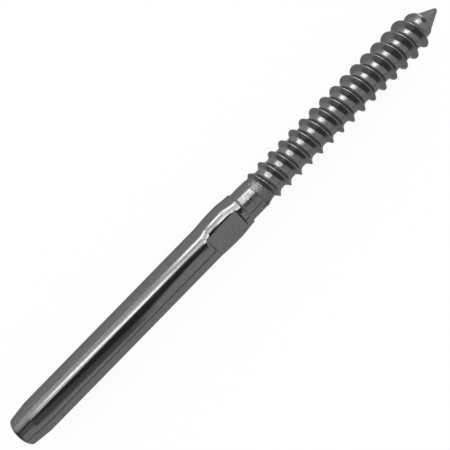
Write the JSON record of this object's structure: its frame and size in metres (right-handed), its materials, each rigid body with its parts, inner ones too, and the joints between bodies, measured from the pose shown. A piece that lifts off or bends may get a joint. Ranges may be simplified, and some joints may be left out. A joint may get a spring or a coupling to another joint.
{
  "type": "wire rope terminal",
  "caption": "Swage terminal for thin wire rope: a bored barrel, two wrench flats, a turned neck and a coarse wood thread with a sharp point.",
  "frame": {"origin": "centre of the open end, on the axis of the rope bore", "axes": "+X along the axis from the open end to the point, +Z out of the upper wrench flat, +Y across the flats' width"},
  "size_m": [0.1139, 0.008, 0.008],
  "materials": {
    "steel": "polished stainless steel with fine turning marks, duller on the pressed flats and on the thread"
  },
  "bodies": {
    "root": {"terminal": "steel"}
  },
  "joints": []
}
